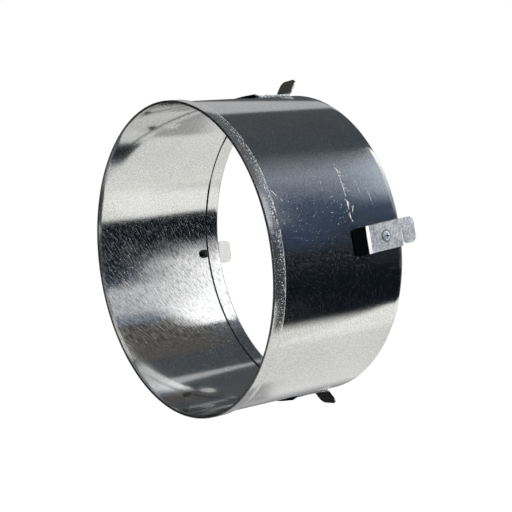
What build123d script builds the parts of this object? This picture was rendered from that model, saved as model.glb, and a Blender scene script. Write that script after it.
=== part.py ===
from build123d import *
import os
from math import cos, degrees, radians, sin

# Heater duct adapter: a hemmed sheet-steel ring with four hook clips round its heater end.
# Millimetres. The duct axis lies along Y, the heater end is the plane Y = 0, the duct end
# faces -Y, and +Z is up. Angles round the ring start at the top and run clockwise as seen
# from the duct end.

# Ring
ring_radius = 150.0        # outside of the plain wall
ring_length = 152.0
sheet = 0.8
hem_gap = 0.8              # air left between the two layers of a hem
front_hem = 13.0           # width of the outward fold at the duct end
rear_hem = 14.5            # width of the inward fold at the heater end
fold_flats = 6             # a fold turns half round in this many flats

# Lap seam of the rolled sheet
seam_angle = 188.0         # middle of the lap
lap_width = 16.0
lap_setback = 1.5          # from each end of the lap to the fold or hem beside it
joint_line = 0.6           # width of the line that the outer sheet's end leaves
cut_room = 2.0             # how far a cut reaches past what it cuts

# Strip of the clips
clip_width = 25.4
clip_sheet = 1.5
clip_seat_gap = 0.05       # under the strip, along the line where it meets the ring
clip_reach = 59.0          # from the heater end to the tip of the lead-in ramp
ramp_length = 14.4
ramp_rise = 1.6            # height of the ridge between the ramp and the plate
ramp_fall = 5.7            # length of the slope from the ridge down to the plate
tip_radius = 3.0
plate_setback = 0.5        # from the end of the plate to the heater end

# Hook
neck_width = 11.5
notch_width = 2.2          # gap between the plate and the leg, bridged by the neck
leg_length = 15.0
bent_leg_length = 18.0
leg_width = 24.0
leg_corner = 6.0
leg_heel_corner = 4.0      # inner corner at the leg's free end
bent_hook = 55.0           # outward bend of the hooks at the top and bottom, in degrees

# Fasteners
screw_setback = 20.0       # from the heater end to the screw
screw_diameter = 5.0
screw_hole_gap = 0.25      # round the screw, in the clip and the ring
head_diameter = 9.0
head_height = 2.2
head_rim = 0.5
recess_length = 5.2
recess_width = 1.0
recess_depth = 1.1
nut_across_flats = 8.0
nut_height = 4.0
nut_bevel = 0.5
nut_seat_gap = 0.1         # keeps the nut's flat face clear of the curved wall
thread_gap = 0.05
thread_end = 1.0           # screw end that stands out of the nut

# Where each clip sits, how far its hook is bent, and how far it is turned about its screw
clips = {
    "clip_top": (0.0, bent_hook, 0.0),
    "clip_right": (90.0, 0.0, 4.0),
    "clip_bottom": (180.0, bent_hook, 0.0),
    "clip_left": (270.0, 0.0, 0.0),
}

inner_wall = ring_radius - sheet
fold = sheet + hem_gap / 2             # outside radius of a hem's fold
front_outer = ring_radius + hem_gap + sheet
rear_inner = inner_wall - hem_gap - sheet
hole_radius = screw_diameter / 2 + screw_hole_gap


def on_ring(angle, along, shape):
    """Put a shape that is drawn at the origin, with +Z outward, on the ring's outside."""
    return Rot(0, angle, 0) * Pos(0, along, ring_radius) * shape


def fold_points(middle, bend, start):
    """Corners of the flats round a fold, turning clockwise from the start angle."""
    angles = [radians(start - 180 * step / fold_flats) for step in range(fold_flats + 1)]
    return [(middle + fold * cos(angle), bend + fold * sin(angle)) for angle in angles]


def ring_section():
    """Section of the hemmed sheet: radius along X, duct axis along Y."""
    front_bend = -ring_length + fold
    front_edge = -ring_length + front_hem
    front_under = ring_radius + hem_gap
    rear_under = inner_wall - hem_gap
    return make_face(Polyline(
        (front_outer, front_edge),
        *fold_points(ring_radius + hem_gap / 2, front_bend, 0),
        (inner_wall, -fold), (rear_under, -fold), (rear_under, -rear_hem), (rear_inner, -rear_hem),
        *fold_points(inner_wall - hem_gap / 2, -fold, 180),
        (ring_radius, front_bend), (front_under, front_bend), (front_under, front_edge),
        close=True))


def lap_leaf():
    """Inner leaf of the lap seam, half a sheet deep in the wall that it is welded to."""
    lap_angle = degrees(lap_width / inner_wall)
    front = -ring_length + fold + lap_setback
    rear = -rear_hem - lap_setback
    section = Polyline((inner_wall - sheet, front), (inner_wall + sheet / 2, front),
                       (inner_wall + sheet / 2, rear), (inner_wall - sheet, rear), close=True)
    leaf = revolve(make_face(section), Axis.Y, revolution_arc=lap_angle)
    # The section starts on +X, which is 90 degrees round from the top.
    return Rot(0, seam_angle - lap_angle / 2 - 90, 0) * leaf


def duct_ring():
    ring = revolve(ring_section(), Axis.Y) + lap_leaf()
    cut_depth = sheet / 2
    line_height = cut_depth + hem_gap + 2 * sheet
    line_angle = seam_angle + degrees(lap_width / 2 / ring_radius)
    line = Box(joint_line, 2 * (ring_length + cut_room), line_height,
               align=(Align.CENTER, Align.CENTER, Align.MIN))
    ring -= on_ring(line_angle, 0, Pos(0, 0, -cut_depth) * line)
    for angle, _, _ in clips.values():
        ring -= on_ring(angle, -screw_setback, Cylinder(hole_radius, 2 * (sheet + cut_room)))
    return ring


def clip_strip():
    """Ramp, ridge and flat plate, drawn with the heater end at Y = 0 and the ring at Z = 0."""
    tip = -clip_reach
    ridge = tip + ramp_length
    plate = ridge + ramp_fall
    low = clip_seat_gap
    high = low + clip_sheet
    side = make_face(Plane.YZ * Polyline(
        (tip, low), (ridge, low + ramp_rise), (plate, low), (-plate_setback, low),
        (-plate_setback, high), (plate, high), (ridge, high + ramp_rise), (tip, high), close=True))
    strip = extrude(side, clip_width / 2, both=True)
    tip_edges = strip.edges().filter_by(Axis.Z).group_by(Axis.Y)[0]
    strip = fillet(tip_edges, tip_radius)
    return strip - Pos(0, -screw_setback, 0) * Cylinder(hole_radius, 2 * (clip_sheet + cut_room))


def hook_leg(length):
    """Flat leg, drawn from its root at Y = 0 with the neck at the -X side."""
    outline = Pos(-clip_width / 2, 0) * Rectangle(leg_width, length, align=(Align.MIN, Align.MIN))
    corners = outline.vertices()
    outline = fillet(corners.group_by(Axis.Y)[-1], leg_corner)
    heel = outline.vertices().group_by(Axis.Y)[0].sort_by(Axis.X)[-1]
    outline = fillet(heel, leg_heel_corner)
    return extrude(outline, clip_sheet)


def hook(bend):
    """Neck and leg behind the plate. A bent neck keeps the length of a straight one."""
    neck_face = Rectangle(neck_width, clip_sheet, align=(Align.MIN, Align.MIN))
    root = Pos(-clip_width / 2, -plate_setback, clip_seat_gap)
    if bend == 0:
        neck = Box(neck_width, notch_width, clip_sheet, align=Align.MIN)
        leg = Pos(0, notch_width - plate_setback, clip_seat_gap) * hook_leg(leg_length)
        return root * neck + leg
    bend_radius = notch_width / radians(bend) - clip_sheet / 2
    bend_axis = Axis((0, 0, clip_sheet + bend_radius), (1, 0, 0))
    neck = revolve(Rot(90, 0, 0) * neck_face, bend_axis, revolution_arc=bend)
    leg = hook_leg(bent_leg_length).rotate(bend_axis, bend)
    return root * neck + Pos(0, -plate_setback, clip_seat_gap) * leg


def clip(angle, bend, skew):
    pivot = Pos(0, -screw_setback, 0)
    turned = pivot * Rot(0, 0, skew) * pivot.inverse() * (clip_strip() + hook(bend))
    return on_ring(angle, 0, turned)


def screw():
    """Low domed screw with a cross recess, its head seated on the strip."""
    seat = clip_seat_gap + clip_sheet
    top = seat + head_height
    end = -sheet - nut_seat_gap - nut_height - thread_end
    shank = screw_diameter / 2
    head = head_diameter / 2
    dome = TangentArc((0, top), (head, seat + head_rim), tangent=(1, 0))
    side = Polyline((head, seat + head_rim), (head, seat), (shank, seat), (shank, end), (0, end), (0, top))
    body = revolve(Plane.XZ * make_face([dome, side]), Axis.Z)
    slot = Box(recess_length, recess_width, 2 * recess_depth)
    return body - Pos(0, 0, top) * (slot + Rot(0, 0, 90) * slot)


def nut():
    """Hexagon nut against the inside of the wall, its flats along the duct axis."""
    corner = nut_across_flats / 3 ** 0.5
    blank = Cylinder(corner, nut_height)
    hexagon = extrude(RegularPolygon(nut_across_flats / 2, 6, major_radius=False), nut_height / 2, both=True)
    body = hexagon & chamfer(blank.edges().filter_by(GeomType.CIRCLE), nut_bevel)
    body -= Cylinder(screw_diameter / 2 + thread_gap, 2 * nut_height)
    return Pos(0, 0, -sheet - nut_seat_gap - nut_height / 2) * body


def at_each_clip(shape):
    return Compound([on_ring(angle, -screw_setback, shape) for angle, _, _ in clips.values()])


os.makedirs("parts", exist_ok=True)
nodes = {"duct_ring": duct_ring(), "clip_screws": at_each_clip(screw()), "clip_nuts": at_each_clip(nut())}
for name, placing in clips.items():
    nodes[name] = clip(*placing)
for name, shape in nodes.items():
    export_step(shape, f"parts/{name}.step")
    print(name, "volume", round(shape.volume, 1))
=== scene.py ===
# %% [markdown]
# The packed model is the frame that everything sits in. It holds the ring, the four hook
# clips, their screws and their nuts in metres, with the duct axis along Y and the heater
# end at Y = 0. The box of the bare model is kept, and the floor is set below it.

# %% Load the frame
import math

import bpy
import numpy as np
from mathutils import Matrix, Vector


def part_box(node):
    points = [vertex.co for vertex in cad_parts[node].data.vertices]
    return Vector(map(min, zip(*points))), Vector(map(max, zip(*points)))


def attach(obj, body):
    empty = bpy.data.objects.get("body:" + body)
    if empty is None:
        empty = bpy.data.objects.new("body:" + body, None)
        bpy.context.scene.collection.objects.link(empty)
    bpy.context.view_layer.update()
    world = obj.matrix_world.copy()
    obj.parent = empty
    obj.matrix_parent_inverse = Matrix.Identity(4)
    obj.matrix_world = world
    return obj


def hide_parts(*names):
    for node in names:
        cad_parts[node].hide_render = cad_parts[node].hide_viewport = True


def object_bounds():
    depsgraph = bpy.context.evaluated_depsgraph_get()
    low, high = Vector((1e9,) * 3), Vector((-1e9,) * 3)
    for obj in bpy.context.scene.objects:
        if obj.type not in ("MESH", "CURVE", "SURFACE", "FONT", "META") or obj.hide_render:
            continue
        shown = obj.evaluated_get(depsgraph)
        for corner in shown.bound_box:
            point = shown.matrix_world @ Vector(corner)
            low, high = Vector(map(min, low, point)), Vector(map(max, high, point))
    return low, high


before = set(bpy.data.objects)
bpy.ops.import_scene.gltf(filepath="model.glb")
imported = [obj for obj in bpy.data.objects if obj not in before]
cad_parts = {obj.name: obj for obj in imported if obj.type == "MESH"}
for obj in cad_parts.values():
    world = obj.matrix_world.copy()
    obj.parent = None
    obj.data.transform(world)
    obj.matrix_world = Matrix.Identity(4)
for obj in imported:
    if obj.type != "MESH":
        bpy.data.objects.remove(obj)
cad_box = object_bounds()
MM = 0.001
print("nodes:", sorted(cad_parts))

# %% [markdown]
# The photograph looks into the duct end from the right, nearly level, with the camera
# rolled a little. The view was worked out from the two rims of the ring and the quarter
# spacing of the clips, so the camera is placed by angles, a distance and a lens. A constraint
# could aim it, but a roll is easier to write into the camera's own axes.

# %% Camera
VIEW_AZIMUTH = 53.87
VIEW_ELEVATION = 1.45
VIEW_ROLL = -7.18
VIEW_DISTANCE = 1194.7 * MM
VIEW_TARGET = np.array([24.3, -76.1, -5.3]) * MM
FOCAL_PIXELS = 1231.0
IMAGE_PIXELS = 512.0
SENSOR = 36.0
NEAR_CLIP = 0.01


def camera_axes(azimuth, elevation, roll):
    """Right, up and back of a camera: level axes first, then both turned by the roll."""
    a, e, r = np.radians([azimuth, elevation, roll])
    back = np.array([np.sin(a) * np.cos(e), -np.cos(a) * np.cos(e), np.sin(e)])
    level_right = np.array([np.cos(a), np.sin(a), 0.0])
    level_up = np.cross(back, level_right)
    right = np.cos(r) * level_right + np.sin(r) * level_up
    up = np.cos(r) * level_up - np.sin(r) * level_right
    return right, up, back


right, up, back = camera_axes(VIEW_AZIMUTH, VIEW_ELEVATION, VIEW_ROLL)
camera_place = np.eye(4)
camera_place[:3, :3] = np.column_stack([right, up, back])
camera_place[:3, 3] = VIEW_TARGET + VIEW_DISTANCE * back
camera_data = bpy.data.cameras.new("photo_camera")
camera_data.sensor_width = SENSOR
camera_data.lens = SENSOR * FOCAL_PIXELS / IMAGE_PIXELS
camera_data.clip_start = NEAR_CLIP
camera = bpy.data.objects.new("photo_camera", camera_data)
bpy.context.scene.collection.objects.link(camera)
camera.matrix_world = Matrix(camera_place.tolist())
bpy.context.scene.camera = camera
bpy.context.scene.view_settings.view_transform = "Standard"
print("camera at", np.round(camera_place[:3, 3], 3), "lens", round(camera_data.lens, 1))

# %% [markdown]
# Every new piece is a bent sheet, so it can be worked out as a grid of points. Extruding and
# spinning could build one too, but whole arrays are quick and give each point an exact place.
# This tool joins a grid into a mesh, and closes it on itself where asked.

# %% Grid tool
SHARP_DEG = 40.0


def grid_mesh(name, points, wrap_rows=False, wrap_columns=False):
    """Object from an array of points (rows, columns, 3). A cell joins a point to its right
    and lower neighbours, and a wrapped direction joins its last line to its first."""
    rows, columns = points.shape[:2]
    index = np.arange(rows * columns).reshape(rows, columns)
    next_row = np.roll(index, -1, axis=0)
    next_column = np.roll(index, -1, axis=1)
    corner = np.roll(next_row, -1, axis=1)
    quads = np.stack([index, next_row, corner, next_column], axis=-1)
    last_row = rows if wrap_rows else rows - 1
    last_column = columns if wrap_columns else columns - 1
    quads = quads[:last_row, :last_column].reshape(-1, 4)
    mesh = bpy.data.meshes.new(name)
    mesh.vertices.add(rows * columns)
    mesh.vertices.foreach_set("co", points.reshape(-1).astype(np.float32))
    mesh.loops.add(quads.size)
    mesh.loops.foreach_set("vertex_index", quads.reshape(-1).astype(np.int32))
    mesh.polygons.add(len(quads))
    mesh.polygons.foreach_set("loop_start", np.arange(0, quads.size, 4, dtype=np.int32))
    mesh.polygons.foreach_set("use_smooth", np.ones(len(quads), dtype=bool))
    mesh.update(calc_edges=True)
    mesh.validate()
    mesh.set_sharp_from_angle(angle=math.radians(SHARP_DEG))
    thing = bpy.data.objects.new(name, mesh)
    bpy.context.scene.collection.objects.link(thing)
    return thing


print("edges over", SHARP_DEG, "degrees are drawn sharp")

# %% [markdown]
# A finish is a net of nodes, which is slow to write one link at a time. This class wraps a
# shader socket, so that a finish can be written as ordinary arithmetic: each operator adds the
# Math node that does it, and one method adds any other node.

# %% Shader wires


class Wire:
    """A shader socket that takes part in arithmetic."""

    def __init__(self, tree, socket):
        self.tree = tree
        self.socket = socket

    def node(self, kind, settings=None, inputs=None, output=0):
        """Any other node: its settings are set first, then the values or links of its sockets."""
        made = self.tree.nodes.new(kind)
        for key, value in (settings or {}).items():
            if key == "stops":
                fill_ramp(made.color_ramp, value)
            else:
                setattr(made, key, value)
        for key, value in (inputs or {}).items():
            if isinstance(value, Wire):
                self.tree.links.new(value.socket, made.inputs[key])
            else:
                made.inputs[key].default_value = value
        return Wire(self.tree, made.outputs[output])

    def math(self, operation, *values):
        """One Math node, named by its operation, on up to three values."""
        return self.node("ShaderNodeMath", {"operation": operation}, dict(enumerate(values)))

    def __add__(self, other):
        return self.math("ADD", self, other)

    def __sub__(self, other):
        return self.math("SUBTRACT", self, other)

    def __rsub__(self, other):
        return self.math("SUBTRACT", other, self)

    def __mul__(self, other):
        return self.math("MULTIPLY", self, other)

    def __truediv__(self, other):
        return self.math("DIVIDE", self, other)

    __radd__ = __add__
    __rmul__ = __mul__

    def size(self):
        """The value without its sign."""
        return self.math("ABSOLUTE", self)

    def fade(self, start, end):
        """0 up to start and 1 from end, with a smooth step between. Start may be the larger."""
        low, high, first, last = (start, end, 0.0, 1.0) if start < end else (end, start, 1.0, 0.0)
        return self.node("ShaderNodeMapRange", {"interpolation_type": "SMOOTHSTEP"},
                         {"Value": self, "From Min": low, "From Max": high, "To Min": first, "To Max": last})

    def blend(self, colour_a, colour_b):
        """Colour a where this value is 0 and colour b where it is 1."""
        inputs = {0: self, 6: colour_a, 7: colour_b}
        return self.node("ShaderNodeMix", {"data_type": "RGBA"}, inputs, output=2)


def fill_ramp(ramp, stops):
    """Set a colour ramp from (position, colour) pairs."""
    while len(ramp.elements) < len(stops):
        ramp.elements.new(1.0)
    for element, (position, colour) in zip(ramp.elements, stops):
        element.position = position
        element.color = colour


print("tools of a wire:", [tool for tool in vars(Wire) if not tool.startswith("_")])

# %% [markdown]
# A few helpers start a finish, split its coordinates, add a noise and join the results to the
# shader. Finishes read object coordinates. An unwrapped map would follow the surface, but none
# of these patterns needs that, and in object coordinates a pattern keeps its size in metres.

# %% Finish helpers


def start_finish(name):
    """A new material, its shader node and its object coordinates as a wire."""
    material = bpy.data.materials.new(name)
    material.use_nodes = True
    tree = material.node_tree
    shader = tree.nodes["Principled BSDF"]
    place = tree.nodes.new("ShaderNodeTexCoord")
    return material, shader, Wire(tree, place.outputs["Object"])


def axes(place):
    """The three coordinates of a shaded point, each as a wire."""
    split = place.node("ShaderNodeSeparateXYZ", inputs={0: place}).socket.node
    return [Wire(place.tree, split.outputs[i]) for i in range(3)]


def noise(place, scale, detail, vector=None):
    """Soft spots, scale to the metre, in object space or along a vector of its own."""
    inputs = {"Vector": vector or place, "Scale": scale, "Detail": detail}
    return place.node("ShaderNodeTexNoise", inputs=inputs)


def feed(shader, **inputs):
    """Join wires, or set plain values, on a shader's sockets. Underscores stand for spaces."""
    for key, value in inputs.items():
        socket = shader.inputs[key.replace("_", " ")]
        if isinstance(value, Wire):
            value.tree.links.new(value.socket, socket)
        else:
            socket.default_value = value


def grey(level):
    """An even colour: the same level in red, green and blue."""
    return (level, level, level, 1.0)


print("full grey:", grey(1.0))

# %% [markdown]
# The ring is one rolled sheet. Its edge is folded outward at the duct end and inward at the
# heater end, so its section is a long strip with a hairpin at each end. The packed solid could
# be kept, but its folds are a few flats, which break up reflections. So the section is drawn
# afresh from straight runs and round turns. The outward hem is slightly crowned, and its cut
# edge is pressed in, which catches a line of light.

# %% Ring section
low, high = (np.array(corner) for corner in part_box("duct_ring"))
RING_LENGTH = high[1] - low[1]
SHEET = 0.8 * MM
HEM_GAP = 0.8 * MM
FRONT_HEM = 13.0 * MM
REAR_HEM = 14.5 * MM
RING_RADIUS = 150.0 * MM
WALL_STEP = 4.0 * MM
HEM_CROWN = 0.1 * MM
HEM_ROLL = 1.6 * MM
HEM_DIP = 0.14 * MM
FOLD = SHEET + HEM_GAP / 2


def run(start, end, step):
    """Points from start up to, not including, end, about a step apart."""
    start, end = np.array(start), np.array(end)
    count = max(1, int(np.ceil(np.linalg.norm(end - start) / step)))
    return start + (end - start) * np.linspace(0, 1, count, endpoint=False)[:, None]


def turn(centre, radius, start_deg, end_deg, count):
    """Points on an arc of a circle, without its last one."""
    angle = np.radians(np.linspace(start_deg, end_deg, count, endpoint=False))
    return np.array(centre) + radius * np.stack([np.cos(angle), np.sin(angle)], axis=-1)


def crowned_hem(radius, cut, bend, count=20):
    """Outside of the front hem from its cut edge: a low crown that falls away at the cut."""
    along = np.linspace(cut, bend, count, endpoint=False)
    middle, half = (cut + bend) / 2, (cut - bend) / 2
    fall = np.clip(1 - (cut - along) / HEM_ROLL, 0, 1)
    crown = HEM_CROWN * (1 - ((along - middle) / half) ** 2)
    return np.stack([radius + crown - HEM_DIP * fall ** 2, along], axis=-1)


def hemmed_section():
    """Closed outline of the sheet as (radius, along), from the cut edge of the front hem
    round the duct end, down the inside, round the heater end and back along the outside."""
    inner = RING_RADIUS - SHEET
    front_outer = RING_RADIUS + HEM_GAP + SHEET
    rear_inner = inner - HEM_GAP - SHEET
    bend = -RING_LENGTH + FOLD
    cut = -RING_LENGTH + FRONT_HEM
    front_centre = (RING_RADIUS + HEM_GAP / 2, bend)
    rear_centre = (inner - HEM_GAP / 2, -FOLD)
    return np.concatenate([
        crowned_hem(front_outer, cut, bend),
        turn(front_centre, FOLD, 0, -180, 10),
        run((inner, bend), (inner, -FOLD), WALL_STEP),
        turn(rear_centre, HEM_GAP / 2, 0, 180, 4),
        run((inner - HEM_GAP, -FOLD), (inner - HEM_GAP, -REAR_HEM), WALL_STEP),
        run((inner - HEM_GAP, -REAR_HEM), (rear_inner, -REAR_HEM), WALL_STEP),
        run((rear_inner, -REAR_HEM), (rear_inner, -FOLD), WALL_STEP),
        turn(rear_centre, FOLD, 180, 0, 10),
        run((RING_RADIUS, -FOLD), (RING_RADIUS, bend), WALL_STEP),
        turn(front_centre, HEM_GAP / 2, 180, 360, 4),
        run((RING_RADIUS + HEM_GAP, bend), (RING_RADIUS + HEM_GAP, cut), WALL_STEP),
        run((RING_RADIUS + HEM_GAP, cut), (front_outer - HEM_DIP, cut), WALL_STEP),
    ])


section = hemmed_section()
print("ring section:", len(section), "points")

# %% [markdown]
# The section is carried round the axis as one grid, closed in both directions. A Screw modifier
# could turn it too, but in a grid each point can move by itself. A real rolled sheet is never
# quite round, so the radius wanders by a tenth of a millimetre. On the outside, the end of the
# sheet leaves a fine line at the lap, so the grid has extra steps there.

# %% Ring surface
RING_STEPS = 640
WANDER = 0.10 * MM
SEAM_ANGLE = 188.0
LAP_WIDTH = 16.0 * MM
JOINT_LINE = 0.6 * MM
JOINT_DEPTH = 0.4 * MM


def round_the_ring(radius, angle, along):
    """Points at a radius, an angle clockwise from the top and a place along the duct axis."""
    return np.stack(np.broadcast_arrays(radius * np.sin(angle), along, radius * np.cos(angle)), axis=-1)


def sheet_wander(angle, along):
    """Slow rise and fall of a rolled sheet: a few round waves that change along the duct."""
    lean = along / RING_LENGTH
    return WANDER * (0.5 * np.cos(3 * angle + 0.6 + 0.8 * lean) + 0.3 * np.cos(7 * angle - 1.1 - 1.7 * lean)
                     + 0.2 * np.cos(13 * angle + 2.0 + 2.3 * lean))


def ring_angles():
    """Even steps round the ring, with extra ones at both sides of the joint line."""
    line = math.radians(SEAM_ANGLE) + LAP_WIDTH / 2 / RING_RADIUS
    half = JOINT_LINE / 2 / RING_RADIUS
    even = np.linspace(0, 2 * np.pi, RING_STEPS, endpoint=False)
    even = even[np.abs(even - line) > 3 * half]
    return np.sort(np.concatenate([even, line + half * np.array([-1.2, -1.0, 1.0, 1.2])])), line, half


def ring_grid():
    """Section carried round the axis. Outside points sink at the joint line."""
    angles, line, half = ring_angles()
    radius, along = section[:, 0][:, None], section[:, 1][:, None]
    angle = angles[None, :]
    outside = (radius > RING_RADIUS - SHEET / 2) & (along > -RING_LENGTH + FOLD) & (along < -FOLD)
    sink = np.where(outside & (np.abs(angle - line) <= half * 1.01), JOINT_DEPTH, 0.0)
    return round_the_ring(radius + sheet_wander(angle, along) - sink, angle, along)


ring = grid_mesh("rolled_ring", ring_grid(), wrap_rows=True, wrap_columns=True)
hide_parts("duct_ring")
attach(ring, "root")
print("ring faces:", len(ring.data.polygons))

# %% [markdown]
# Where the rolled sheet meets itself, one end laps under the other. From inside, the under
# leaf is a low step beside the bottom clip. It could be a step in the ring's own grid, but a
# thin curved plate keeps that grid plain. Its outline is carried round the axis as the ring's
# section is, over the width of the lap only.

# %% Lap leaf
LAP_SETBACK = 1.5 * MM
LEAF_SINK = 0.3 * MM
LEAF_STEPS = 13


def leaf_grid():
    """A closed strip of the leaf's section, carried along the lap's width. Each end is closed
    by one more column, in which all points lie on the same corner of the section."""
    front = -RING_LENGTH + FOLD + LAP_SETBACK
    rear = -REAR_HEM - LAP_SETBACK
    outer = RING_RADIUS - SHEET + LEAF_SINK
    inner = RING_RADIUS - 2 * SHEET
    corners = [(outer, front), (inner, front), (inner, rear), (outer, rear)]
    outline = np.concatenate([run(a, b, WALL_STEP) for a, b in zip(corners, corners[1:] + corners[:1])])
    half = LAP_WIDTH / 2 / RING_RADIUS
    angle = math.radians(SEAM_ANGLE) + np.linspace(-half, half, LEAF_STEPS)[None, :]
    radius, along = outline[:, 0][:, None], outline[:, 1][:, None]
    points = round_the_ring(radius + sheet_wander(angle, along), angle, along)
    corner = np.array([[outer, front]]).repeat(len(outline), 0)
    ends = round_the_ring(corner[:, 0][:, None], angle[:, [0, -1]], corner[:, 1][:, None])
    return np.concatenate([ends[:, :1], points, ends[:, 1:]], axis=1)


leaf = grid_mesh("lap_leaf", leaf_grid(), wrap_rows=True)
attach(leaf, "root")
print("leaf faces:", len(leaf.data.polygons))

# %% [markdown]
# Bright galvanised sheet is a mirror with a fine grain. Its reflections stay sharp from a
# step away, the zinc shows a pale speckle, and rolling leaves faint lines round the ring.
# Marks of use lie on top. A few white scratches cross the outside above the right clip. Cut
# into the mesh they would need far more points, so each is a short line on the unrolled wall:
# the distance to the line makes its mask.

# %% Scratches and patches
SCRATCHES = [  # start angle, start along, end angle, end along (degrees, mm), half width in mm
    (60.2, -54.9, 84.7, -57.3, 0.50),
    (63.0, -57.5, 66.0, -51.5, 0.85),
    (66.5, -56.5, 67.0, -50.0, 0.65),
    (74.5, -59.8, 77.5, -54.5, 0.90),
    (77.2, -58.5, 78.6, -51.5, 0.70),
    (80.0, -59.0, 84.0, -55.0, 0.60),
    (68.5, -58.0, 70.5, -52.5, 0.45),
    (70.8, -56.0, 73.0, -50.5, 0.40),
    (77.0, -49.0, 80.5, -54.0, 0.50),
    (79.4, -60.5, 81.0, -55.5, 0.50),
    (69.0, -137.0, 72.5, -131.0, 0.70),
    (70.5, -133.0, 74.0, -127.0, 0.60),
    (73.4, -73.8, 76.0, -70.0, 0.35),
    (74.2, -138.0, 75.6, -136.0, 0.45),
    (68.0, -40.0, 76.0, -38.0, 0.35),
    (70.0, -30.0, 80.0, -27.0, 0.30),
    (66.0, -78.0, 72.0, -81.0, 0.30),
]
RUBBED = (-100.0, 34.0)  # middle and reach in degrees of the streaks inside
DUSTY = (78.0, 26.0)  # the same for a dusty patch outside


def scratch_mask(arc, along, scratch):
    """1 on a line from start to end: near it across, and between its ends along it. Both
    distances come from the place off the start, split along and across the line's direction."""
    start_deg, start_along, end_deg, end_along, half = scratch
    start_arc = math.radians(start_deg) * RING_RADIUS
    line_arc = math.radians(end_deg) * RING_RADIUS - start_arc
    line_along = (end_along - start_along) * MM
    length = math.hypot(line_arc, line_along)
    way_arc, way_along = line_arc / length, line_along / length
    off_arc, off_along = arc - start_arc, along - start_along * MM
    reach = off_arc * way_arc + off_along * way_along
    aside = off_along * way_arc - off_arc * way_along
    inside = (reach - length / 2).size().fade(length * 0.52, length * 0.3)
    return aside.size().fade(half * MM, 0.0) * inside


def near_angle(arc, middle, reach):
    """1 near a place round the ring, fading to 0 at the reach, both in degrees."""
    middle, reach = (math.radians(degrees) * RING_RADIUS for degrees in (middle, reach))
    return (arc - middle).size().fade(reach, reach / 2)


print("scratches on the ring:", len(SCRATCHES))

# %% [markdown]
# The finish is put together from zones and noises. A zone says where a mark may lie: the hem
# band, its cut edge, the fold at the duct end, a streaked patch inside and a dusty one outside.
# A noise gives the mark its texture. Together they make worn, which says how far dull grey has
# taken the place of the mirror. Each mark could be a shader of its own, but one mask for all
# wear is simpler. The fold is painted near black, a painted dark reflection, so a thin line runs round the
# duct end.

# %% Galvanised finish
SHEET_BUMP = {"Strength": 0.055, "Distance": 0.0004}
ZINC_DARK = (0.68, 0.69, 0.70, 1.0)
ZINC_PALE = (0.88, 0.88, 0.86, 1.0)
WORN_GREY = grey(0.92)
FOLD_PAINTED_REFLECTION = grey(0.02)
STREAK_DARK = (0.22, 0.23, 0.25, 1.0)


def galvanised_finish():
    """Zinc speckle under its wear: each mark is a zone times a noise, and worn is their sum up to 1."""
    material, shader, place = start_finish("bright_galvanised_sheet")
    x, along, z = axes(place)
    arc = place.math("ARCTAN2", x, z) * RING_RADIUS
    reach = place.math("SQRT", x * x + z * z)
    from_front = along + RING_LENGTH

    outside = reach.fade(RING_RADIUS - SHEET, RING_RADIUS - SHEET / 2)
    hem_layer = reach.fade(RING_RADIUS + HEM_GAP, RING_RADIUS + HEM_GAP + SHEET / 2)
    band = from_front.fade(FRONT_HEM + 1 * MM, FRONT_HEM - 1 * MM) * outside
    cut_side = from_front.fade(5 * MM, 10 * MM) * band
    edge = (from_front - FRONT_HEM).size().fade(2.2 * MM, 0.4 * MM) * hem_layer
    fold = from_front.fade(1.2 * MM, 0.6 * MM)
    rubbed = near_angle(arc, *RUBBED) * (1 - outside)
    dusty = near_angle(arc, *DUSTY) * outside * (1 - band)

    rolled = place.node("ShaderNodeCombineXYZ", inputs={0: arc * 0.25, 1: along * 3.0, 2: 0.0})
    slanted = place.node("ShaderNodeCombineXYZ", inputs={
        0: (along * 0.5 - arc * 0.87) * 0.2, 1: along * 0.87 + arc * 0.5, 2: 0.0})
    grain = noise(place, 640.0, 2.0)
    cloud = noise(place, 22.0, 4.0)
    breaks = noise(place, 240.0, 3.0)
    fleck = noise(place, 760.0, 1.0)
    dust = noise(place, 900.0, 2.0)
    lines = noise(place, 150.0, 3.0, rolled)
    hair = noise(place, 620.0, 3.0, slanted)

    scratches = sum(scratch_mask(arc, along, scratch) for scratch in SCRATCHES) * breaks.fade(0.38, 0.60)
    flecks = fleck.fade(0.62, 0.72) * (0.3 - outside * 0.2 + band * 0.35)
    flecks = flecks + fleck.fade(0.53, 0.64) * cut_side * 0.4
    rubs = edge * grain.fade(0.42, 0.58) * breaks.fade(0.4, 0.6) * 0.6
    streaks = rubbed * hair.fade(0.50, 0.36) * 0.16
    specks = dusty * dust.fade(0.50, 0.60) * 0.09
    worn = scratches * outside + rubs + flecks + band * 0.08 + streaks + specks
    worn = place.math("MINIMUM", worn, 1.0)

    tone = 0.8 * grain + 0.2 * cloud
    zinc = tone.fade(0.36, 0.64).blend(ZINC_DARK, ZINC_PALE)
    zinc = (rubbed * hair.fade(0.48, 0.62) * 0.5).blend(zinc, STREAK_DARK)
    # The fold at the duct end is painted near black: a painted dark reflection.
    zinc = (fold * 0.95).blend(zinc, FOLD_PAINTED_REFLECTION)
    height = grain * (0.8 - outside * 0.5) + lines * 0.15 + band * fleck
    feed(shader,
         Base_Color=worn.blend(zinc, WORN_GREY),
         Metallic=1 - worn * 0.85,
         Roughness=0.05 + grain * 0.05 + cloud * 0.03 + worn * 0.35,
         Normal=place.node("ShaderNodeBump", inputs={**SHEET_BUMP, "Height": height}))
    return material


sheet_finish = galvanised_finish()
for piece in (ring, leaf):
    piece.data.materials.append(sheet_finish)
print("sheet finish:", sheet_finish.name, "with", len(sheet_finish.node_tree.nodes), "nodes")
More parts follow.
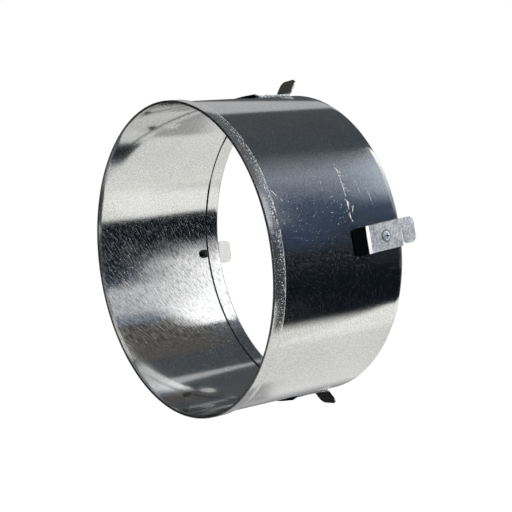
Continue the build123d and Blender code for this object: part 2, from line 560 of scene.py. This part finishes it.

# %% [markdown]
# The clips are cut from zinc-plated strip, which is duller than the sheet: it scatters
# light, so the plates read pale grey. The lead-in ramp is painted black as a dark reflection, the
# slope behind its ridge is painted bright as a highlight, and the bent hooks are smooth enough to mirror a
# dark part of the room.
# All clips share one finish. Its zones could be separate materials on picked faces, but here
# each is found from the place along the duct and the distance from its axis.

# %% Strip finish
RIDGE_ALONG = -44.6 * MM
PLATE_ALONG = -38.9 * MM
PLATE_TOP = 151.6 * MM
SCREW_ALONG = -20.0 * MM
HEAD_RADIUS = 4.5 * MM
BEND_SOFT = 0.3 * MM
STRIP_BUMP = {"Strength": 0.12, "Distance": 0.0004}
STRIP_DARK = (0.34, 0.36, 0.40, 1.0)
STRIP_PALE = (0.84, 0.87, 0.91, 1.0)
SLOPE_PAINTED_HIGHLIGHT = (0.97, 0.96, 0.92, 1.0)
BENT_GREY = (0.70, 0.70, 0.66, 1.0)
TAB_PAINTED_LIGHT = (0.84, 0.82, 0.77, 1.0)
SCREW_PAINTED_SHADOW = grey(0.05)
RAMP_PAINTED_REFLECTION = grey(0.03)


def from_screw(place, x, along, z):
    """Distance to the middle of the nearest screw: at each clip x or z is close to 0."""
    aside = place.math("MINIMUM", x.size(), z.size())
    ahead = along - SCREW_ALONG
    return place.math("SQRT", aside * aside + ahead * ahead)


def strip_finish():
    """Grey zinc, changed zone by zone: the ramp painted black as a dark reflection, the slope behind
    it painted bright as a highlight, the smooth bent hooks, the straight hook at the left painted
    pale and warm as a lit face, and a painted shadow round each screw head."""
    material, shader, place = start_finish("zinc_strip")
    x, along, z = axes(place)
    reach = place.math("SQRT", x * x + z * z)
    # The ramp is painted black, a painted dark reflection.
    ramp = along.fade(RIDGE_ALONG + BEND_SOFT, RIDGE_ALONG - BEND_SOFT)
    # The slope behind the ridge is painted near white, a painted highlight.
    slope = along.fade(PLATE_ALONG + BEND_SOFT, PLATE_ALONG - BEND_SOFT) * (1 - ramp)
    bent = reach.fade(PLATE_TOP + 1 * MM, PLATE_TOP + 3 * MM) * along.fade(-2 * MM, 0.0)
    # The straight hook at the left is painted pale and warm: painted light on a lit face.
    left_tab = along.fade(1 * MM, 2 * MM) * x.fade(-100 * MM, -140 * MM)
    # A painted shadow rings each screw head.
    shadow_ring = from_screw(place, x, along, z).fade(HEAD_RADIUS + 2.0 * MM, HEAD_RADIUS + 0.6 * MM)
    grain = noise(place, 460.0, 3.0)
    cloud = noise(place, 90.0, 3.0)
    tone = (0.6 * grain + 0.4 * cloud).fade(0.32, 0.68)
    zinc = tone.blend(STRIP_DARK, STRIP_PALE)
    zinc = slope.blend(zinc, SLOPE_PAINTED_HIGHLIGHT)
    zinc = bent.blend(zinc, BENT_GREY)
    zinc = (left_tab * 0.8).blend(zinc, TAB_PAINTED_LIGHT)
    zinc = (shadow_ring * 0.8).blend(zinc, SCREW_PAINTED_SHADOW)
    mirror = 0.55 - left_tab * 0.35 + ramp * 0.45 + slope * 0.45 + bent * 0.45
    feed(shader,
         Base_Color=ramp.blend(zinc, RAMP_PAINTED_REFLECTION),
         Metallic=place.math("MINIMUM", mirror, 1.0),
         Roughness=0.36 - ramp * 0.2 - slope * 0.24 - bent * 0.28 + grain * 0.08,
         Normal=place.node("ShaderNodeBump", inputs={**STRIP_BUMP, "Height": grain}))
    return material


def dress(node_name, material):
    """Give a carried-over node one finish in place of what it came with."""
    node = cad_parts[node_name]
    node.data.materials.clear()
    node.data.materials.append(material)


clip_finish = strip_finish()
CLIPS = ("clip_top", "clip_right", "clip_bottom", "clip_left")
for clip_name in CLIPS:
    dress(clip_name, clip_finish)
print("strip finish on", len(CLIPS), "clips")

# %% [markdown]
# The screws are bright zinc, slightly blue, with painted shade in their cross recesses. The recess is
# found by its depth: near the middle of a screw, what lies below the dome is the recess. A
# drawn cross would have to turn with each screw, and the depth doesn't. The nuts inside the
# ring are painted near black, as painted shade and dark reflection.

# %% Screw and nut finishes
RECESS_TOP = 153.1 * MM
FASTENER_GRAIN = 1400.0
SCREW_BLUE = (0.62, 0.74, 0.88, 1.0)
SCREW_PALE = (0.90, 0.96, 1.0, 1.0)
RECESS_PAINTED_SHADE = grey(0.02)
NUT_PAINTED_SHADE = grey(0.02)
NUT_PAINTED_SHADE_LIGHT = grey(0.05)


def screw_finish():
    """Bright zinc with a cross of painted shade: the recess lies deeper than the head near its middle."""
    material, shader, place = start_finish("bright_screw")
    x, along, z = axes(place)
    grain = noise(place, FASTENER_GRAIN, 2.0)
    reach = place.math("SQRT", x * x + z * z)
    middle = from_screw(place, x, along, z).fade(3.2 * MM, 2.8 * MM)
    recess = middle * reach.fade(RECESS_TOP, RECESS_TOP - 0.2 * MM)
    zinc = grain.fade(0.35, 0.65).blend(SCREW_BLUE, SCREW_PALE)
    feed(shader, Base_Color=recess.blend(zinc, RECESS_PAINTED_SHADE), Metallic=0.4, Roughness=0.15 + grain * 0.1)
    return material


def nut_finish():
    """Steel painted near black as shade and dark reflection, with a fine grain in its colour and roughness.
    """
    material, shader, place = start_finish("nut_painted_shade")
    grain = noise(place, FASTENER_GRAIN, 2.0)
    # The near-black colour is painted shade and dark reflection.
    steel = grain.fade(0.35, 0.65).blend(NUT_PAINTED_SHADE, NUT_PAINTED_SHADE_LIGHT)
    feed(shader, Base_Color=steel, Metallic=1.0, Roughness=0.3 + grain * 0.1)
    return material


dress("clip_screws", screw_finish())
dress("clip_nuts", nut_finish())
print("finishes:", [m.name for m in bpy.data.materials])

# %% [markdown]
# A polished ring shows its room in bands, so most of its look is the room. A picture of a room
# could light it, but a built one can be tuned band by band. The room, which only the metal
# sees, is a wide tube round the duct axis. A ramp of light runs round it: white floor, dim left
# and ceiling, a blue-grey window and a dark right wall. A round wall closes each end, so that
# the ring shows a grey wall when it is seen along its axis.

# %% Room
ROOM_RADIUS = 6.0
ROOM_FRONT = -7.2
ROOM_REAR = 7.2
ROOM_STEPS = 97
WALL_FADE = 3.0
WALL_HOLE = 0.01
WALL_LOW = grey(0.5)
WALL_HIGH = grey(0.15)
ROOM_BANDS = [  # angle round the duct axis from the top, colour of the light
    (-180, (0.75, 0.75, 0.73, 1.0)),
    (-136, (0.78, 0.78, 0.77, 1.0)),
    (-120, (0.35, 0.35, 0.36, 1.0)),
    (-88, (0.09, 0.09, 0.09, 1.0)),
    (18, (0.06, 0.07, 0.08, 1.0)),
    (40, (0.24, 0.27, 0.32, 1.0)),
    (60, (0.02, 0.045, 0.09, 1.0)),
    (98, (0.005, 0.008, 0.014, 1.0)),
    (146, (0.005, 0.007, 0.010, 1.0)),
    (153, (0.82, 0.82, 0.78, 1.0)),
    (180, (0.75, 0.75, 0.73, 1.0)),
]


def glow(name):
    """A material that only gives light, its shader node and its object coordinates as a wire."""
    material, shader, place = start_finish(name)
    feed(shader, Base_Color=grey(0.0), Specular_IOR_Level=0.0, Emission_Strength=1.0)
    return material, shader, place


def only_in_metal(thing, material):
    """Stage a lit thing and leave it to reflections: no camera, shadow or soft light sees it."""
    thing.data.materials.append(material)
    thing.visible_camera = False
    thing.visible_diffuse = False
    thing.visible_shadow = False


def tube(name, start_deg, end_deg, front, rear, radius):
    """Part of a round wall: the angle runs along one side of the grid, the duct axis along the other."""
    angle = np.radians(np.linspace(start_deg, end_deg, ROOM_STEPS))[None, :]
    along = np.array([front, rear])[:, None]
    return grid_mesh(name, round_the_ring(radius, angle, along))


def round_angle(place):
    """Angle in degrees from the top, and place along the duct axis, at a shaded point."""
    x, along, z = axes(place)
    return place.math("ARCTAN2", x, z) * (180 / math.pi), along


def room_light():
    """Bands of light: the angle from -180 to 180 degrees is the place on a colour ramp."""
    material, shader, place = glow("room_bands")
    angle, _ = round_angle(place)
    stops = [((degrees + 180) / 360, colour) for degrees, colour in ROOM_BANDS]
    feed(shader, Emission_Color=place.node("ShaderNodeValToRGB", {"stops": stops}, {0: (angle + 180) / 360}))
    return material


def end_wall(name, along):
    """A round wall that closes one end of the room, dim above and pale below: a flat ring from
    a small hole to the tube."""
    material, shader, place = glow(name)
    height = axes(place)[2]
    feed(shader, Emission_Color=height.fade(-WALL_FADE, WALL_FADE).blend(WALL_LOW, WALL_HIGH))
    angle = np.radians(np.linspace(0, 360, ROOM_STEPS))[None, :]
    radius = np.array([WALL_HOLE, ROOM_RADIUS])[:, None]
    only_in_metal(grid_mesh(name, round_the_ring(radius, angle, along)), material)


only_in_metal(tube("room", -180, 180, ROOM_FRONT, ROOM_REAR, ROOM_RADIUS), room_light())
end_wall("front_wall", ROOM_FRONT)
end_wall("rear_wall", ROOM_REAR)
print("room bands:", len(ROOM_BANDS))

# %% [markdown]
# Soft cards stand just inside the tube. Lamps could give such lights, but a card can be dark as
# well as bright. Rays off the inside of the ring meet the tube nearer than rays off its outside,
# so a card can serve one of them alone. Two dark flags stand at the front, where the bent hooks
# look.

# %% Cards
CARD_RADIUS = ROOM_RADIUS * 0.98
# Each row: name, start and end angle, front and rear, softness in degrees, at the front and
# at the rear, colour.
CARDS = [
    ("inside_floor", 124, 154, 2.0, 3.80, 5.0, 0.1, 0.15, (0.86, 0.86, 0.83, 1.0)),
    ("inside_left", 46, 80, 2.0, 4.15, 10.0, 0.3, 0.1, (0.55, 0.55, 0.58, 1.0)),
    ("inside_dim", 8, 47, 2.0, 4.10, 6.0, 0.3, 0.1, (0.09, 0.085, 0.08, 1.0)),
    ("inside_ceiling", -162, -124, 2.0, 4.10, 6.0, 0.3, 0.1, (0.36, 0.36, 0.36, 1.0)),
    ("near_grey", 20, 150, 1.0, 3.2, 20.0, 0.3, 0.6, (0.20, 0.22, 0.25, 1.0)),
    ("blue_glow", 66, 98, 4.25, 4.65, 14.0, 0.18, 0.2, (0.025, 0.055, 0.12, 1.0)),
    ("flag_for_top_fin", -80, -30, -2.8, 0.2, 10.0, 0.4, 0.4, (0.05, 0.05, 0.045, 1.0)),
    ("flag_for_bottom_fin", -158, -95, -2.6, 0.2, 10.0, 0.4, 0.4, (0.004, 0.004, 0.004, 1.0)),
    ("rim_glow", 18, 70, 4.7, 6.5, 18.0, 0.9, 0.5, (0.60, 0.68, 0.78, 1.0)),
]


def card(name, start_deg, end_deg, front, rear, soft_deg, soft_front, soft_rear, colour):
    """A patch of light on the tube. Its alpha is a fade round the axis times one along it."""
    material, shader, place = glow("card_" + name)
    angle, along = round_angle(place)
    half_deg = (end_deg - start_deg) / 2
    aside = (angle - (start_deg + end_deg) / 2).size().fade(half_deg, half_deg - soft_deg)
    ahead = along.fade(front, front + soft_front) * along.fade(rear, rear - soft_rear)
    feed(shader, Emission_Color=colour, Alpha=aside * ahead)
    only_in_metal(tube("card_" + name, start_deg, end_deg, front, rear, CARD_RADIUS), material)


for row in CARDS:
    card(*row)
print("cards:", len(CARDS))

# %% [markdown]
# Three flat sheets of light stand close to the ring, where a card on the far tube couldn't
# tell one part of the ring from another. A window and a pale step at the right are seen by the
# inside, and a pale sheet at the upper left by the top of the outside. Slanted and faded edges
# keep each sheet out of the way of rays off the other side.

# %% Sheets beside the ring
RIGHT_OF_RING = 0.26
LEFT_OF_RING = -0.22
WINDOW_NEAR = grey(0.85)
WINDOW_FAR = grey(1.5)
STEP_LIGHT = (0.95, 0.95, 0.92, 1.0)
UPPER_LEFT_LIGHT = (0.47, 0.47, 0.48, 1.0)


def near_sheet(name, across, along, height):
    """A flat upright sheet of light at one place across, from its ends along the duct axis and
    in height: its shader, its coordinates, and wires for the place along and the height."""
    material, shader, place = glow(name)
    ends_along, ends_height = np.meshgrid(along, height, indexing="ij")
    corners = np.stack([np.full((2, 2), across), ends_along, ends_height], axis=-1)
    only_in_metal(grid_mesh(name, corners), material)
    return shader, place, *axes(place)[1:]


def inside_window():
    """White sheet at the right. Rays off the inside of the ring pass the heater end and meet
    the sheet, and rays off the outside pass in front of it. Streaks break up its near side."""
    shader, place, along, height = near_sheet("inside_window", RIGHT_OF_RING, (0.11, 0.60), (-0.10, 0.50))
    way = place.node("ShaderNodeCombineXYZ", inputs={
        0: along * 70.0, 1: height * 12.0 + along * 20.0, 2: 0.0})
    streaks = noise(place, 1.0, 4.0, way)
    seen = (along + streaks * 0.16).fade(0.19, 0.30) * (height + streaks * 0.2).fade(0.0, 0.14)
    slanted = (along - height * 0.75).fade(0.0, 0.05)
    light = along.fade(0.20, 0.32).blend(WINDOW_NEAR, WINDOW_FAR)
    feed(shader, Emission_Color=light, Alpha=seen * slanted)


def inside_step():
    """White sheet low at the right, which carries the white floor on for rays off the rear
    half of the inside. Its upper edge draws the line between the pale and the dark zone."""
    shader, _, along, height = near_sheet("inside_step", RIGHT_OF_RING, (0.16, 0.66), (-0.75, -0.22))
    seen = height.fade(-0.232, -0.262) * height.fade(-0.75, -0.42) * along.fade(0.16, 0.20)
    feed(shader, Emission_Color=STEP_LIGHT, Alpha=seen)


def pale_upper_left():
    """Pale sheet at the left, above the ring, that lies in the way of rays off its top."""
    shader, _, along, height = near_sheet("pale_upper_left", LEFT_OF_RING, (0.0, 0.60), (0.12, 0.64))
    slanted = (height - along * 0.55).fade(0.20, 0.235)
    seen = slanted * height.fade(0.62, 0.54) * along.fade(0.0, 0.02)
    feed(shader, Emission_Color=UPPER_LEFT_LIGHT, Alpha=seen)


SHEETS = (inside_window, inside_step, pale_upper_left)
for hang_sheet in SHEETS:
    hang_sheet()
print("sheets beside the ring:", len(SHEETS))

# %% [markdown]
# The camera sees a pale floor under a white surround. A wide floor with a curved back could do
# that, but it would have to be lit white. Here the floor is small and fades out, so no horizon
# shows, and it keeps the object's shadow. The surround is white for the camera, for reflections
# and for what is seen through, and gives hardly any light.

# %% Floor and surround
FLOOR_DROP = 0.12
FLOOR_REACH = 1.2
FLOOR_GLOW = 0.93
FLOOR_FADE = (1.15, 0.55)
SOFT_LEVEL = 0.03

floor_height = float(cad_box[0][2]) - FLOOR_DROP
ends = np.array([-FLOOR_REACH, FLOOR_REACH])
floor_across, floor_along = np.meshgrid(ends, ends)
floor = grid_mesh("floor", np.stack([floor_across, floor_along, np.full((2, 2), floor_height)], axis=-1))
pale, pale_shader, pale_place = start_finish("pale_floor")
from_middle = pale_place.node(
    "ShaderNodeVectorMath", {"operation": "LENGTH"}, {0: pale_place}, output="Value")
feed(pale_shader, Base_Color=grey(0.9), Roughness=1.0, Specular_IOR_Level=0.0,
     Emission_Color=grey(1.0), Emission_Strength=FLOOR_GLOW, Alpha=from_middle.fade(*FLOOR_FADE))
floor.data.materials.append(pale)
floor.visible_glossy = False
floor.visible_diffuse = False

world = bpy.data.worlds.new("studio")
world.use_nodes = True
bpy.context.scene.world = world
tree = world.node_tree
path = tree.nodes.new("ShaderNodeLightPath")
seen = Wire(tree, path.outputs["Is Camera Ray"])
seen = seen.math("MAXIMUM", seen, Wire(tree, path.outputs["Is Glossy Ray"]))
seen = seen.math("MAXIMUM", seen, Wire(tree, path.outputs["Is Transmission Ray"]))
tree.links.new((seen * (1 - SOFT_LEVEL) + SOFT_LEVEL).socket, tree.nodes["Background"].inputs["Strength"])
tree.nodes["Background"].inputs["Color"].default_value = grey(1.0)
print("floor at height", round(floor_height, 3))

# %% [markdown]
# Area lamps light what scatters: the strips, the scratches and the dust. Point lamps could too,
# but their shadows are hard. The lamps are left out of reflections, because the room has its own
# lights there. The strongest stands at the rear right.

# %% Lamps
LAMPS = [  # name, place, aim, size, power in watts
    ("rear_right_softbox", (1.5, 1.1, 0.35), (0.0, 0.0, 0.0), 0.8, 30.0),
    ("top_softbox", (0.3, 0.2, 1.6), (0.0, -0.05, 0.0), 0.9, 6.0),
    ("front_fill", (1.2, -1.2, 0.5), (0.0, 0.0, 0.0), 1.2, 6.0),
]


def lamp(name, place, aim, size, power):
    """An area lamp that faces its aim: its back axis points away from it, its side axis is level."""
    data = bpy.data.lights.new(name, "AREA")
    data.energy = power
    data.size = size
    thing = bpy.data.objects.new(name, data)
    bpy.context.scene.collection.objects.link(thing)
    away = np.array(place) - np.array(aim)
    away /= np.linalg.norm(away)
    side = np.cross([0.0, 0.0, 1.0], away)
    side /= np.linalg.norm(side)
    pose = np.eye(4)
    pose[:3, :3] = np.column_stack([side, np.cross(away, side), away])
    pose[:3, 3] = place
    thing.matrix_world = Matrix(pose.tolist())
    thing.visible_glossy = False


for row in LAMPS:
    lamp(*row)
print("lamps:", len(LAMPS))

# %% [markdown]
